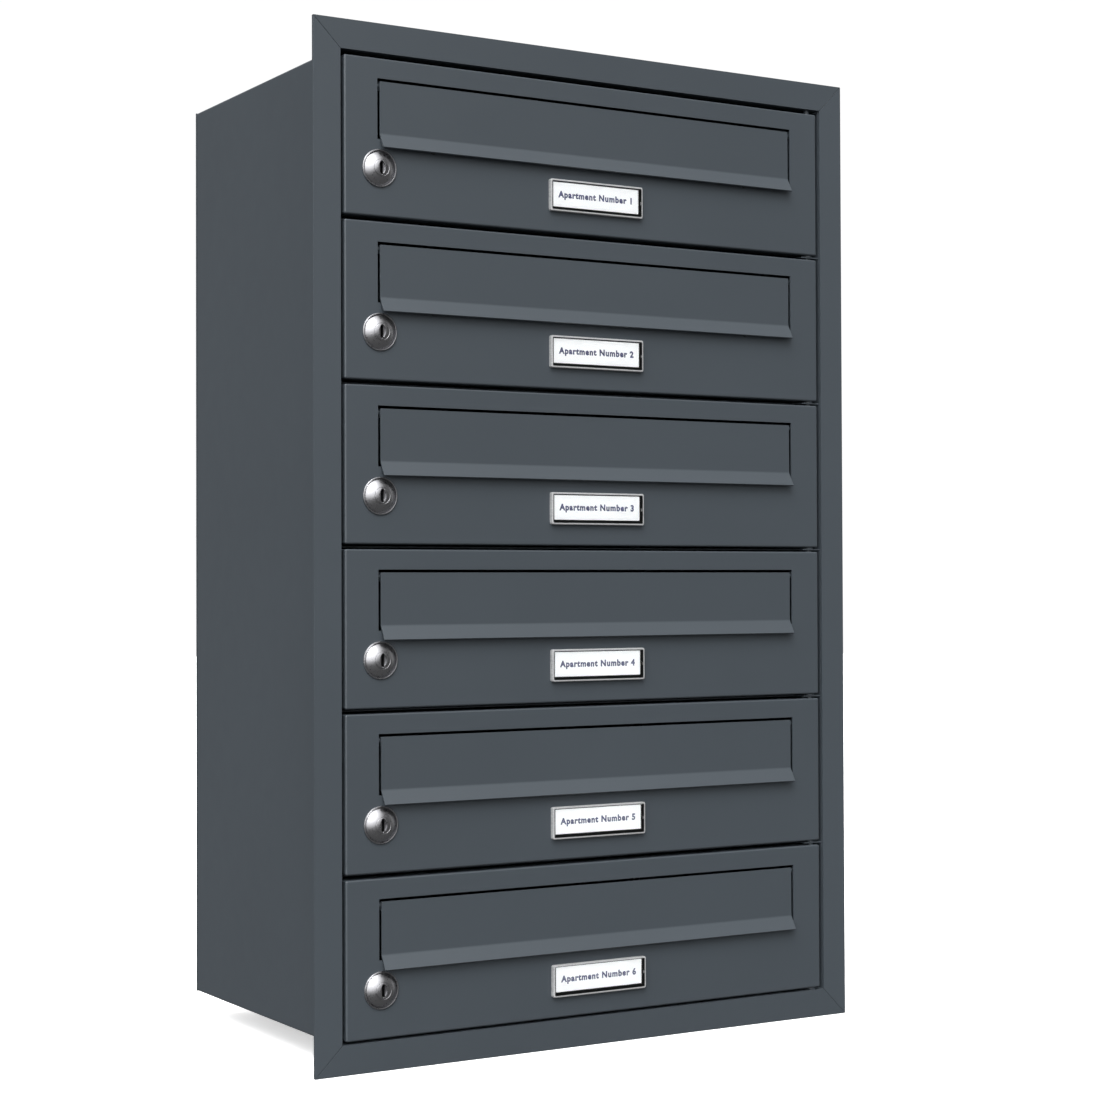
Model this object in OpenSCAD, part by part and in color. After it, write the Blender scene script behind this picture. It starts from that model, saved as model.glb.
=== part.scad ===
// Flush-mounted cluster mailbox: one column of lockable compartments behind a
// mitred trim frame. Every compartment has a door hung on its right edge, a
// mail flap, a cam lock and a name plate.
// Frame: the origin is the centre of the wall fixings on the rear face, +Y
// points into the wall, +Z up, and +X to the right as seen from the front.

/* [Compartments] */
// Number of compartments in the column
rows = 6; // [2:1:6]
// Height of one compartment, shelf to shelf
pitch = 110; // [108:1:140]
// Clear width inside the casing
inner_w = 400; // [380:5:480]
// Depth from the wall side of the back panel to the front face
depth = 250; // [200:5:350]
// Extra space between the top door and the top of the casing
top_space = 1.7; // [0:0.1:3]

/* [Sheet metal] */
// Thickness of the casing and the back panel
case_t = 1.2; // [1:0.1:1.5]
// Thickness of the shelves
shelf_t = 1.0; // [0.8:0.1:1.2]
// Thickness of the doors and their flaps
door_t = 1.2; // [1:0.1:1.3]
// Width of the strips at the back of the casing that hold the back panel
rear_strip = 12; // [10:1:16]

/* [Trim frame] */
// Face width of the mitred trim
trim_w = 20; // [18:1:30]
// Thickness of the trim
trim_t = 2; // [1.5:0.1:2]
// Depth of the leg that runs back along the casing
trim_leg = 14; // [13:1:20]

/* [Doors] */
// Gap between the trim and the lock side of a door
gap_lock_side = 2.6; // [2:0.1:3]
// Gap between the trim and the hinge side of a door
gap_hinge_side = 3.4; // [3:0.1:4.5]
// Gap between two doors
gap_between = 3.4; // [3:0.1:5]
// Depth of the folded edges of a door
door_return = 14; // [12:0.5:14]
// Diameter of a hinge pin
hinge_pin_d = 4; // [3:0.5:4]

/* [Mail flap] */
// Distance from the sides of a door to the slot
slot_side = 24.6; // [22:0.1:30]
// Distance from the top of a door to the slot
slot_top = 13.6; // [12:0.1:16]
// Height of the slot
slot_h = 41; // [40:0.5:42]
// Gap round the flap
flap_gap = 2; // [1.5:0.1:2.5]
// Height of the flat part of the flap
flap_flat = 34.7; // [34:0.1:35]
// Angle that the lip leans out from the face
lip_angle = 30.6; // [20:0.1:35]
// Length of the lip below its bend
lip_len = 10; // [8:0.5:10]
// Diameter of the rod that the flap hangs on
rod_d = 3; // [2.5:0.1:3]

/* [Lock] */
// Distance from the lock side of a door to the lock's axis
lock_x = 25.8; // [24:0.1:28]
// Distance from the bottom of a door to the lock's axis
lock_z = 32.3; // [30:0.1:33]
// Diameter of the lock's domed head
lock_head_d = 25.4; // [24:0.1:26]
// Height of the lock's head above the door
lock_head_h = 5.6; // [5:0.1:6.5]
// Length of the cam from the lock's axis to its tip
cam_len = 22; // [21:0.5:23]

/* [Name plate] */
// Width of the clear cover
cover_w = 77; // [70:1:80]
// Height of the clear cover
cover_h = 22.6; // [20:0.1:24]
// Thickness of the clear cover
cover_t = 3.2; // [2.5:0.1:4]
// Distance from the bottom of a door to the middle of the cover
cover_z = 25.9; // [24:0.1:27]

/* [Wall fixings] */
// Distance between the fixing holes, side to side
fix_w = 300; // [200:5:320]
// Diameter of the fixing holes
fix_d = 8.5; // [6:0.5:10]

/* [Hidden] */
$fn = 48;

// Names of the pieces that every compartment repeats, and of the rest
DOOR_PIECES = ["door", "flap_rod", "flap", "lock_barrel", "lock_nut", "lock_plug",
               "lock_cam", "name_cover"];
FRAME_PIECES = ["casing", "back_panel", "shelves", "trim_top", "trim_bottom", "trim_left",
                "trim_right", "trim_corners", "hinge_pins", "lock_strikes", "back_rivets",
                "trim_screws"];

// Colours
coat = [0.29, 0.31, 0.34];
zinc = [0.72, 0.73, 0.74];
bright = [0.85, 0.85, 0.86];
clear = [0.85, 0.90, 0.92, 0.45];

// A cut reaches this far past the sheet that it goes through
past = 1;
// Radial running clearance of a pin in its hole
run = 0.05;
// Gap along a welded seam, which keeps each sheet a solid of its own
seam = 0.1;

// Casing
top_z = rows * pitch / 2 + top_space;
bottom_z = -rows * pitch / 2;
inner_h = top_z - bottom_z;
side_x = inner_w / 2;
front_y = -depth;
case_front = front_y + trim_t;
strip_y = -2 * case_t;
fix_z = (rows - 1) * pitch / 2;

// Shelves
shelf_front = front_y + 13;
rail_h = 8;
rail_t = 1.5;
tab_w = 16;

// Trim: the leg stands off the casing by the thickness of a corner angle
corner_t = 1;
leg_t = 1.5;
leg_in = case_t + corner_t;
leg_out = leg_in + leg_t;
leg_y = case_front + trim_leg;
corner_len = 22;
corner_d = 11;
trim_screw_d = 3.2;
trim_screw_head = 6;
trim_screw_y = case_front + trim_leg / 2;
trim_screw_x = inner_w * 0.3;

// Rivets of the back panel
rivet_d = 4;
rivet_head = 7.2;
rivet_head_h = 1.2;
rivet_in = rear_strip / 2;

// Doors
door_l = -side_x + gap_lock_side;
door_r = side_x - gap_hinge_side;
door_mid = (door_l + door_r) / 2;
door_h = pitch - gap_between;
door_back = front_y + door_return;
hinge_x = door_r - 5;
hinge_y = front_y + 5.2;
pin_reach = gap_between / 2 + door_t + 1.6;
collar_d = 7;

// Slot and flap
slot_l = door_l + slot_side;
slot_r = door_r - slot_side;
flap_l = slot_l + flap_gap;
flap_r = slot_r - flap_gap;
bend_r = 3;
bend_steps = 6;
rod_y = front_y + 3.5;
rod_drop = 2.4;
ear_t = 1.2;
ear_back = 2.8;
ear_low = 3.6;
tab_gap = 3;
tab_t = 1.5;
tab_reach = 6;
rod_head_d = 4.6;
rod_head_t = 1;

// Lock
lock_at_x = door_l + lock_x;
rim_t = 1.2;
dome_d = lock_head_d - 1.6;
dome_h = lock_head_h - rim_t * 0.4;
dome_r = (pow(dome_d / 2, 2) + pow(dome_h, 2)) / (2 * dome_h);
dome_y = front_y - dome_h + dome_r;
barrel_d = 16.9;
barrel_len = 14.8;
plug_d = 11;
nut_flats = 22;
nut_t = 4;
cam_t = 1.8;
cam_hub_d = 16;
cam_tip_d = 11;
cam_y = front_y + 16.6;
square_w = 7;
keyway_w = 2.2;
keyway_h = 8.6;
keyway_len = 15;
mouth_w = 5;
mouth_h = 9.8;
mouth_deep = 1.6;
cam_screw_d = 4;
cam_screw_head = 8;
cam_screw_head_t = 2;

// Strike on the casing's wall that the turned cam catches behind
strike_x = 13;
strike_t = 1.5;
strike_h = 20;
strike_leg = 9.4;
strike_y = cam_y - 0.5 - strike_t;

// Name plate
card_w = 71.6;
card_h = 17.6;
card_deep = 0.8;
card_rise = 0.75;
peg_d = 2.4;
peg_x = (cover_w + card_w) / 4;
peg_len = 2.6;

// Height of the middle of compartment n, counted from the top
function mid_z(n) = pitch * ((rows + 1) / 2 - n);
function door_low(n) = mid_z(n) - door_h / 2;
function door_high(n) = mid_z(n) + door_h / 2;
function lock_at_z(n) = door_low(n) + lock_z;
function rod_z(n) = door_high(n) - slot_top - flap_gap - rod_drop;
// Height of shelf i, counted from the top, where 0 and rows are the casing itself
function shelf_z(i) = rows * pitch / 2 - i * pitch;

// Box between two opposite corners
module block(low, high) {
    translate(low) cube(high - low);
}

// Round bar along X, Y or Z from its centre line's start
module bar_x(at, r, len) {
    translate(at) rotate([0, 90, 0]) cylinder(r = r, h = len);
}
module bar_y(at, r, len) {
    translate(at) rotate([-90, 0, 0]) cylinder(r = r, h = len);
}
module bar_z(at, r, len) {
    translate(at) cylinder(r = r, h = len);
}

// ---- Casing, back panel and shelves ----

module rivet_places() {
    for (side = [-1, 1], n = [1:rows])
        translate([side * (side_x - rivet_in), 0, mid_z(n)]) children();
    for (z = [bottom_z + rivet_in, top_z - rivet_in], x = [-0.3, 0, 0.3])
        translate([x * inner_w, 0, z]) children();
}

// One countersunk screw along +X, whose head is flush at x = leg_out
module trim_screw() {
    bar_x([0, 0, 0], trim_screw_d / 2, leg_out);
    translate([leg_out - leg_t, 0, 0]) rotate([0, 90, 0])
        cylinder(r1 = trim_screw_d / 2, r2 = trim_screw_head / 2, h = leg_t);
}

module all_trim_screws() {
    for (n = [1:rows]) {
        translate([side_x, trim_screw_y, mid_z(n)]) trim_screw();
        translate([-side_x, trim_screw_y, mid_z(n)]) mirror([1, 0, 0]) trim_screw();
    }
    for (x = [-trim_screw_x, trim_screw_x]) {
        translate([x, trim_screw_y, top_z]) rotate([0, -90, 0]) trim_screw();
        translate([x, trim_screw_y, bottom_z]) rotate([0, 90, 0]) trim_screw();
    }
}

// The casing's four panels, and the strips round its back that hold the back panel
module casing_sheets() {
    in_x = side_x - rear_strip;
    for (x = [-side_x - case_t, side_x])
        block([x, case_front, bottom_z - case_t], [x + case_t, -case_t, top_z + case_t]);
    for (z = [bottom_z - case_t, top_z])
        block([-side_x + seam, case_front, z], [side_x - seam, -case_t, z + case_t]);
    for (x = [-side_x + seam, in_x])
        block([x, strip_y, bottom_z + seam], [x + rear_strip - seam, -case_t, top_z - seam]);
    for (z = [bottom_z + seam, top_z - rear_strip])
        block([-in_x + seam, strip_y, z], [in_x - seam, -case_t, z + rear_strip - seam]);
}

module casing() {
    color(coat) difference() {
        casing_sheets();
        bar_z([hinge_x, hinge_y, top_z - past], hinge_pin_d / 2, case_t + 2 * past);
        bar_z([hinge_x, hinge_y, bottom_z - case_t - past], hinge_pin_d / 2, case_t + 2 * past);
        rivet_places() bar_y([0, strip_y - past, 0], rivet_d / 2, case_t + 2 * past);
        all_trim_screws();
    }
}

module back_panel() {
    color(coat) difference() {
        block([-side_x - case_t, -case_t, bottom_z - case_t], [side_x + case_t, 0, top_z + case_t]);
        rivet_places() bar_y([0, -case_t - past, 0], rivet_d / 2, case_t + 2 * past);
        for (x = [-fix_w / 2, fix_w / 2], z = [-fix_z, fix_z])
            bar_y([x, -case_t - past, z], fix_d / 2, case_t + 2 * past);
    }
}

// A shelf is a flat sheet on three rails, and a tab at its front right carries a
// hinge pin; all are spot welded to the casing
module shelf(z) {
    low = z - shelf_t / 2;
    high = z + shelf_t / 2;
    difference() {
        union() {
            block([-side_x, shelf_front, low], [side_x, strip_y, high]);
            block([side_x - tab_w, case_front, low], [side_x - 0.6, shelf_front + past, high]);
        }
        bar_z([hinge_x, hinge_y, low - past], hinge_pin_d / 2, shelf_t + 2 * past);
    }
    for (x = [-side_x, side_x - rail_t])
        block([x, door_back + 11, low - seam - rail_h], [x + rail_t, strip_y - rail_t - seam, low - seam]);
    block([-side_x + rear_strip, strip_y - rail_t, low - seam - rail_h],
          [side_x - rear_strip, strip_y, low - seam]);
}

module shelves() {
    color(coat) for (i = [1:rows - 1]) shelf(shelf_z(i));
}

module back_rivets() {
    color(zinc) rivet_places() {
        bar_y([0, strip_y, 0], rivet_d / 2, 2 * case_t);
        bar_y([0, strip_y - rivet_head_h, 0], rivet_head / 2, rivet_head_h);
    }
}

// A hinge pin stands in a shelf or in the casing; its collar carries the door above
module hinge_pins() {
    color(zinc) for (i = [0:rows]) {
        z = shelf_z(i);
        high = i == 0 ? top_z + case_t : z + pin_reach;
        low = i == rows ? bottom_z - case_t : z - pin_reach;
        seat = i == rows ? bottom_z : z + shelf_t / 2;
        bar_z([hinge_x, hinge_y, low], hinge_pin_d / 2, high - low);
        if (i > 0)
            bar_z([hinge_x, hinge_y, seat], collar_d / 2, z + gap_between / 2 - run - seat);
    }
}

// A strike is an angle welded to the casing's left wall
module lock_strikes() {
    color(zinc) for (n = [1:rows]) {
        z = lock_at_z(n);
        block([-side_x, strike_y, z - strike_h / 2], [-side_x + strike_x, strike_y + strike_t, z + strike_h / 2]);
        block([-side_x, strike_y, z - strike_h / 2],
              [-side_x + strike_t, strike_y + strike_leg, z + strike_h / 2]);
    }
}

// ---- Trim ----

// The frame's own section, before it is cut into mitred bars
module trim_ring() {
    difference() {
        block([-side_x - trim_w, front_y, bottom_z - trim_w], [side_x + trim_w, leg_y, top_z + trim_w]);
        block([-side_x, front_y - past, bottom_z], [side_x, leg_y + past, top_z]);
        difference() {
            block([-side_x - trim_w - past, case_front, bottom_z - trim_w - past],
                  [side_x + trim_w + past, leg_y + past, top_z + trim_w + past]);
            block([-side_x - leg_out, case_front - past, bottom_z - leg_out],
                  [side_x + leg_out, leg_y + past, top_z + leg_out]);
        }
        block([-side_x - leg_in, case_front, bottom_z - leg_in],
              [side_x + leg_in, leg_y + past, top_z + leg_in]);
        all_trim_screws();
    }
}

// Mitred prism that holds one bar: along X between the two inner corners
module mitre_x(z, up) {
    reach = trim_w + past;
    translate([0, leg_y + past, z]) rotate([90, 0, 0]) linear_extrude(height = trim_t + trim_leg + 2 * past)
        polygon([[-side_x, 0], [side_x, 0], [side_x + reach, up * reach], [-side_x - reach, up * reach]]);
}

// The same along Z
module mitre_z(x, out) {
    reach = trim_w + past;
    translate([x, leg_y + past, 0]) rotate([90, 0, 0]) linear_extrude(height = trim_t + trim_leg + 2 * past)
        polygon([[0, bottom_z], [out * reach, bottom_z - reach], [out * reach, top_z + reach], [0, top_z]]);
}

module trim_top() {
    color(coat) intersection() {
        trim_ring();
        mitre_x(top_z, 1);
    }
}

module trim_bottom() {
    color(coat) intersection() {
        trim_ring();
        mitre_x(bottom_z, -1);
    }
}

module trim_left() {
    color(coat) intersection() {
        trim_ring();
        mitre_z(-side_x, -1);
    }
}

module trim_right() {
    color(coat) intersection() {
        trim_ring();
        mitre_z(side_x, 1);
    }
}

// Thin angles between the legs and the casing that join the mitred bars
module trim_corners() {
    color(zinc) for (sx = [-1, 1], top = [0, 1]) {
        z = top ? top_z : bottom_z;
        x = sx * side_x;
        translate([x, case_front, z]) mirror([sx < 0 ? 1 : 0, 0, 0]) mirror([0, 0, top ? 0 : 1]) {
            block([-corner_len, 0, case_t], [leg_in, corner_d, leg_in]);
            block([case_t, 0, -corner_len], [leg_in, corner_d, leg_in]);
        }
    }
}

module trim_screws() {
    color(zinc) all_trim_screws();
}

// ---- One compartment's door and what it carries ----

// A door is a folded tray with a slot for the flap and two tabs for its rod
module door(n) {
    low = door_low(n);
    high = door_high(n);
    rz = rod_z(n);
    color(coat) difference() {
        union() {
            difference() {
                block([door_l, front_y, low], [door_r, door_back, high]);
                block([door_l + door_t, front_y + door_t, low + door_t], [door_r - door_t, door_back + past, high - door_t]);
            }
            for (x = [slot_l - tab_gap - tab_t, slot_r + tab_gap])
                block([x, front_y + door_t / 2, rz - tab_reach / 2], [x + tab_t, rod_y + tab_reach / 2, rz + tab_reach / 2]);
        }
        block([slot_l, front_y - past, high - slot_top - slot_h], [slot_r, front_y + door_t + past, high - slot_top]);
        bar_x([slot_l - tab_gap - tab_t - past, rod_y, rz], rod_d / 2, slot_r - slot_l + 2 * (tab_gap + tab_t + past));
        bar_y([lock_at_x, front_y - past, lock_at_z(n)], barrel_d / 2 + run, door_t + 2 * past);
        for (z = [low - past, high - door_t - past])
            bar_z([hinge_x, hinge_y, z], hinge_pin_d / 2 + run, door_t + 2 * past);
        for (x = [-peg_x, peg_x])
            bar_y([door_mid + x, front_y - past, low + cover_z], peg_d / 2 + run, door_t + 2 * past);
    }
}

// Side view of the flap, X to the back and Y up, from its top edge at the face
function bend_arc(r, from, to) = [
    for (i = [0:bend_steps])
        let (a = from + (to - from) * i / bend_steps)
        [-bend_r + r * cos(a), -flap_flat + r * sin(a)]
];
function lip_end(r) = [
    -bend_r + r * cos(lip_angle) - lip_len * sin(lip_angle),
    -flap_flat - r * sin(lip_angle) - lip_len * cos(lip_angle)
];
flap_outline = concat(
    [[0, 0]], bend_arc(bend_r, 0, -lip_angle), [lip_end(bend_r)],
    [lip_end(bend_r + door_t)], bend_arc(bend_r + door_t, -lip_angle, 0), [[door_t, 0]]
);

module flap(n) {
    top = door_high(n) - slot_top - flap_gap;
    color(coat) difference() {
        union() {
            translate([flap_l, front_y, top]) rotate([90, 0, 90])
                linear_extrude(height = flap_r - flap_l) polygon(flap_outline);
            for (x = [flap_l, flap_r - ear_t])
                block([x, front_y + door_t / 2, rod_z(n) - ear_low], [x + ear_t, rod_y + ear_back, top]);
        }
        bar_x([flap_l - past, rod_y, rod_z(n)], rod_d / 2 + run, flap_r - flap_l + 2 * past);
    }
}

module flap_rod(n) {
    left = slot_l - tab_gap - tab_t - rod_head_t;
    right = slot_r + tab_gap + tab_t;
    color(zinc) {
        bar_x([left, rod_y, rod_z(n)], rod_d / 2, right - left + rod_head_t);
        for (x = [left, right]) bar_x([x, rod_y, rod_z(n)], rod_head_d / 2, rod_head_t);
    }
}

// Domed head over a rim, and the body that goes through the door
module lock_barrel(n) {
    color(bright) translate([lock_at_x, 0, lock_at_z(n)]) difference() {
        union() {
            bar_y([0, front_y - rim_t, 0], lock_head_d / 2, rim_t);
            intersection() {
                translate([0, dome_y, 0]) sphere(r = dome_r);
                bar_y([0, front_y - lock_head_h - past, 0], dome_d / 2, lock_head_h + past);
            }
            bar_y([0, front_y, 0], barrel_d / 2, barrel_len);
        }
        bar_y([0, front_y - lock_head_h - past, 0], plug_d / 2 + run, lock_head_h + barrel_len + 2 * past);
    }
}

module lock_nut(n) {
    color(zinc) translate([lock_at_x, front_y + door_t, lock_at_z(n)]) difference() {
        rotate([-90, 0, 0]) cylinder(d = nut_flats / cos(30), h = nut_t, $fn = 6);
        bar_y([0, -past, 0], barrel_d / 2 + run, nut_t + 2 * past);
    }
}

// The plug turns in the barrel; its keyway has a lens-shaped mouth
module lock_plug(n) {
    mouth_r = (pow(mouth_h / 2, 2) + pow(mouth_w / 2, 2)) / mouth_w;
    color(bright) translate([lock_at_x, 0, lock_at_z(n)]) difference() {
        union() {
            intersection() {
                translate([0, dome_y, 0]) sphere(r = dome_r);
                bar_y([0, front_y - lock_head_h - past, 0], plug_d / 2, lock_head_h + past);
            }
            bar_y([0, front_y, 0], plug_d / 2, cam_y - front_y);
            block([-square_w / 2, cam_y - past, -square_w / 2], [square_w / 2, cam_y + cam_t, square_w / 2]);
        }
        block([-keyway_w / 2, front_y - lock_head_h - past, -keyway_h / 2],
              [keyway_w / 2, front_y - lock_head_h + keyway_len, keyway_h / 2]);
        translate([0, front_y - dome_h - past, 0]) rotate([-90, 0, 0])
            linear_extrude(height = past + mouth_deep) intersection() {
                translate([mouth_r - mouth_w / 2, 0]) circle(r = mouth_r, $fn = 96);
                translate([mouth_w / 2 - mouth_r, 0]) circle(r = mouth_r, $fn = 96);
            }
        bar_y([0, cam_y - 3, 0], cam_screw_d / 2, cam_t + 3 + past);
    }
}

// The cam hangs down when the lock is open; its screw holds it on the square
module lock_cam(n) {
    color(zinc) translate([lock_at_x, cam_y, lock_at_z(n)]) {
        difference() {
            union() {
                bar_y([0, 0, 0], cam_hub_d / 2, cam_t);
                block([-cam_tip_d / 2, 0, -cam_len + cam_tip_d / 2], [cam_tip_d / 2, cam_t, 0]);
                bar_y([0, 0, -cam_len + cam_tip_d / 2], cam_tip_d / 2, cam_t);
            }
            block([-square_w / 2, -past, -square_w / 2], [square_w / 2, cam_t + past, square_w / 2]);
        }
        bar_y([0, -2.5, 0], cam_screw_d / 2, cam_t + 2.5);
        bar_y([0, cam_t, 0], cam_screw_head / 2, cam_screw_head_t);
    }
}

// Clear cover with a pocket for the card behind it and two pegs into the door
module name_cover(n) {
    color(clear) translate([door_mid, front_y, door_low(n) + cover_z]) {
        difference() {
            block([-cover_w / 2, -cover_t, -cover_h / 2], [cover_w / 2, 0, cover_h / 2]);
            block([-card_w / 2, -card_deep, card_rise - card_h / 2], [card_w / 2, past, card_rise + card_h / 2]);
        }
        for (x = [-peg_x, peg_x]) bar_y([x, -card_deep, 0], peg_d / 2, card_deep + peg_len);
    }
}

// ---- Nodes ----

casing();
back_panel();
shelves();
trim_top();
trim_bottom();
trim_left();
trim_right();
trim_corners();
hinge_pins();
lock_strikes();
back_rivets();
trim_screws();
for (n = [1:rows]) {
    door(n);
    flap_rod(n);
    flap(n);
    lock_barrel(n);
    lock_nut(n);
    lock_plug(n);
    lock_cam(n);
    name_cover(n);
}
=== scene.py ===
from math import cos, pi, radians, sin, sqrt

import bmesh
import bpy
from mathutils import Matrix, Vector


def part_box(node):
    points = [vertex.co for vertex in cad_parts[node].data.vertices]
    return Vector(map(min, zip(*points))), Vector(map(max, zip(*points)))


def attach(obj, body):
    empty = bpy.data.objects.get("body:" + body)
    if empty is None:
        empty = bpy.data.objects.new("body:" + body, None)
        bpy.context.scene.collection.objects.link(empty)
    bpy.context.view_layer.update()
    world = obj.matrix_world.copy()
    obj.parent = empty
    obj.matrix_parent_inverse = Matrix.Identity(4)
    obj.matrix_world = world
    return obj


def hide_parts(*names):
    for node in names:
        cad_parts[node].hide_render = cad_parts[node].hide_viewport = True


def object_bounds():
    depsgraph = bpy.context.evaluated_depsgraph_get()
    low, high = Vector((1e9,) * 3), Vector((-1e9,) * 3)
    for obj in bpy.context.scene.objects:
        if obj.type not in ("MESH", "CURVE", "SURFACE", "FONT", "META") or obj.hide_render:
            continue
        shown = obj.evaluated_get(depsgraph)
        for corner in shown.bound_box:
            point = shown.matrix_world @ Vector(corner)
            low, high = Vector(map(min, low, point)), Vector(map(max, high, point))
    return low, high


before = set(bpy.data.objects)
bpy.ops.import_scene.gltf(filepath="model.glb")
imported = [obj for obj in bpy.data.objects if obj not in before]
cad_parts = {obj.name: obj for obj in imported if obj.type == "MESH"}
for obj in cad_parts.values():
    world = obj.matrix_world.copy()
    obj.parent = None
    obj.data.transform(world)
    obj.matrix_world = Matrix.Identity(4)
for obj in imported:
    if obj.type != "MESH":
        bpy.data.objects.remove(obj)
cad_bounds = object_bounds()
scene = bpy.context.scene

# ---- Camera ----
# A long lens to the left of the unit, level with its middle, looking a
# little up. Everything in front of it is in focus.
CAMERA_AT = (-0.8546, -1.6075, -0.0267)
CAMERA_TURN = (90.91, 0.2, -31.0)
LENS = 74.1
SENSOR_WIDE = 36.0
CLIP_NEAR = 0.05
CLIP_FAR = 60.0

camera_data = bpy.data.cameras.new("camera")
camera_data.sensor_width = SENSOR_WIDE
camera_data.lens = LENS
camera_data.clip_start = CLIP_NEAR
camera_data.clip_end = CLIP_FAR
camera = bpy.data.objects.new("camera", camera_data)
camera.location = CAMERA_AT
camera.rotation_euler = tuple(radians(turn) for turn in CAMERA_TURN)
scene.collection.objects.link(camera)
scene.camera = camera

# ---- Studio ----
# A pale floor that the trim just stands on and a white backdrop all round, lit
# by a very wide soft light high on the left in front, with a broad lamp within
# it that draws the shadows, and by a weaker soft light behind.
FLOOR_GAP = 0.0003
FLOOR_SHADE = 0.93
FLOOR_GLOW = 0.5
BACKDROP_SHADE = 0.0
BACKDROP_GLOW = 1.0
BACKDROP_RADIUS = 9.0
STAGE_ROUGH = 0.9
WHITE = (1.0, 1.0, 1.0, 1.0)
LIGHT_FROM = (-0.52, -0.52, 0.68)
LIGHT_EDGE = 0.42
LIGHT_CORE = 0.98
DIM_SIDE = 0.17
BRIGHT_SIDE = 3.7
BACK_FROM = (0.72, 0.62, 0.30)
BACK_EDGE = 0.46
BACK_CORE = 0.96
BACK_BRIGHT = 1.5
LAMP_FROM = (-0.40, -0.52, 0.75)
LAMP_STRENGTH = 2.1
LAMP_WIDE = 36.0

world = bpy.data.worlds.new("studio")
world.use_nodes = True
scene.world = world
sky_nodes = world.node_tree.nodes
sky_link = world.node_tree.links.new
direction = sky_nodes.new("ShaderNodeTexCoord")
soft_lights = (
    (LIGHT_FROM, LIGHT_EDGE, LIGHT_CORE, DIM_SIDE, BRIGHT_SIDE),
    (BACK_FROM, BACK_EDGE, BACK_CORE, 0.0, BACK_BRIGHT),
)
both = sky_nodes.new("ShaderNodeMath")
both.operation = "ADD"
for slot, (place, edge, core, dim, bright) in enumerate(soft_lights):
    nearness = sky_nodes.new("ShaderNodeVectorMath")
    nearness.operation = "DOT_PRODUCT"
    nearness.inputs[1].default_value = place
    level = sky_nodes.new("ShaderNodeMapRange")
    level.interpolation_type = "SMOOTHSTEP"
    level.inputs["From Min"].default_value = edge
    level.inputs["From Max"].default_value = core
    level.inputs["To Min"].default_value = dim
    level.inputs["To Max"].default_value = bright
    sky_link(direction.outputs["Generated"], nearness.inputs[0])
    sky_link(nearness.outputs["Value"], level.inputs["Value"])
    sky_link(level.outputs["Result"], both.inputs[slot])
sky_link(both.outputs["Value"], sky_nodes["Background"].inputs["Strength"])
sky_nodes["Background"].inputs["Color"].default_value = WHITE
scene.view_settings.view_transform = "Standard"

lamp_light = bpy.data.lights.new("broad_lamp", "SUN")
lamp_light.energy = LAMP_STRENGTH
lamp_light.angle = radians(LAMP_WIDE)
broad_lamp = bpy.data.objects.new("broad_lamp", lamp_light)
broad_lamp.rotation_euler = Vector(LAMP_FROM).to_track_quat("Z", "Y").to_euler()
scene.collection.objects.link(broad_lamp)


def stage_piece(name, bm, shade, glow):
    """A floor or backdrop that the camera sees but that throws no light back."""
    mesh = bpy.data.meshes.new(name)
    bm.to_mesh(mesh)
    bm.free()
    paint = bpy.data.materials.new(name)
    paint.use_nodes = True
    shader = paint.node_tree.nodes["Principled BSDF"]
    shader.inputs["Base Color"].default_value = (shade, shade, shade, 1.0)
    shader.inputs["Roughness"].default_value = STAGE_ROUGH
    shader.inputs["Emission Color"].default_value = WHITE
    shader.inputs["Emission Strength"].default_value = glow
    mesh.materials.append(paint)
    made = bpy.data.objects.new(name, mesh)
    made.visible_diffuse = False
    made.visible_glossy = False
    scene.collection.objects.link(made)
    return made


floor_z = cad_bounds[0].z - FLOOR_GAP
bm = bmesh.new()
bmesh.ops.create_circle(bm, cap_ends=True, radius=BACKDROP_RADIUS, segments=96)
bmesh.ops.translate(bm, verts=bm.verts, vec=(0.0, 0.0, floor_z))
stage_piece("floor", bm, FLOOR_SHADE, FLOOR_GLOW)
bm = bmesh.new()
bmesh.ops.create_uvsphere(bm, u_segments=48, v_segments=24, radius=BACKDROP_RADIUS)
backdrop = stage_piece("backdrop", bm, BACKDROP_SHADE, BACKDROP_GLOW)
backdrop.visible_shadow = False

# ---- Casing ----
# The casing is a box of 1.2 mm sheet steel with its edges folded and ground,
# powder coated in satin anthracite; a strip folded in at its back takes the panel.
COAT_TONE = (0.040, 0.049, 0.058)
COAT_DARK = 0.955
COAT_LIGHT = 1.045
COAT_ROUGH = (0.425, 0.455)
COAT_RELIEF = 0.000015
MOTTLE_SCALE = 7.0
MOTTLE_SHARE = 0.6
SPECK_SCALE = 2400.0
SPECK_SHARE = 0.4
HAZE_SCALE = 60.0
PEEL_SCALE = 430.0
GRIT_SCALE = 2100.0
GRIT_SHARE = 0.18
SHEET = 0.0012
REAR_STRIP = 0.012
CASING_CORNER = 0.0016
LEAST_CORNER = 0.0003
FRONT_EASE = 0.0003
INNER_BEND = 0.0006
BEND_SHARE = 0.3
FOLD_STEPS = 5
SMOOTH_BELOW = 50.0


def paint_box(name):
    """A new material: the material, its shader, and its object coordinates."""
    material = bpy.data.materials.new(name)
    material.use_nodes = True
    shader = material.node_tree.nodes["Principled BSDF"]
    place = material.node_tree.nodes.new("ShaderNodeTexCoord").outputs["Object"]
    return material, shader, place


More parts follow.
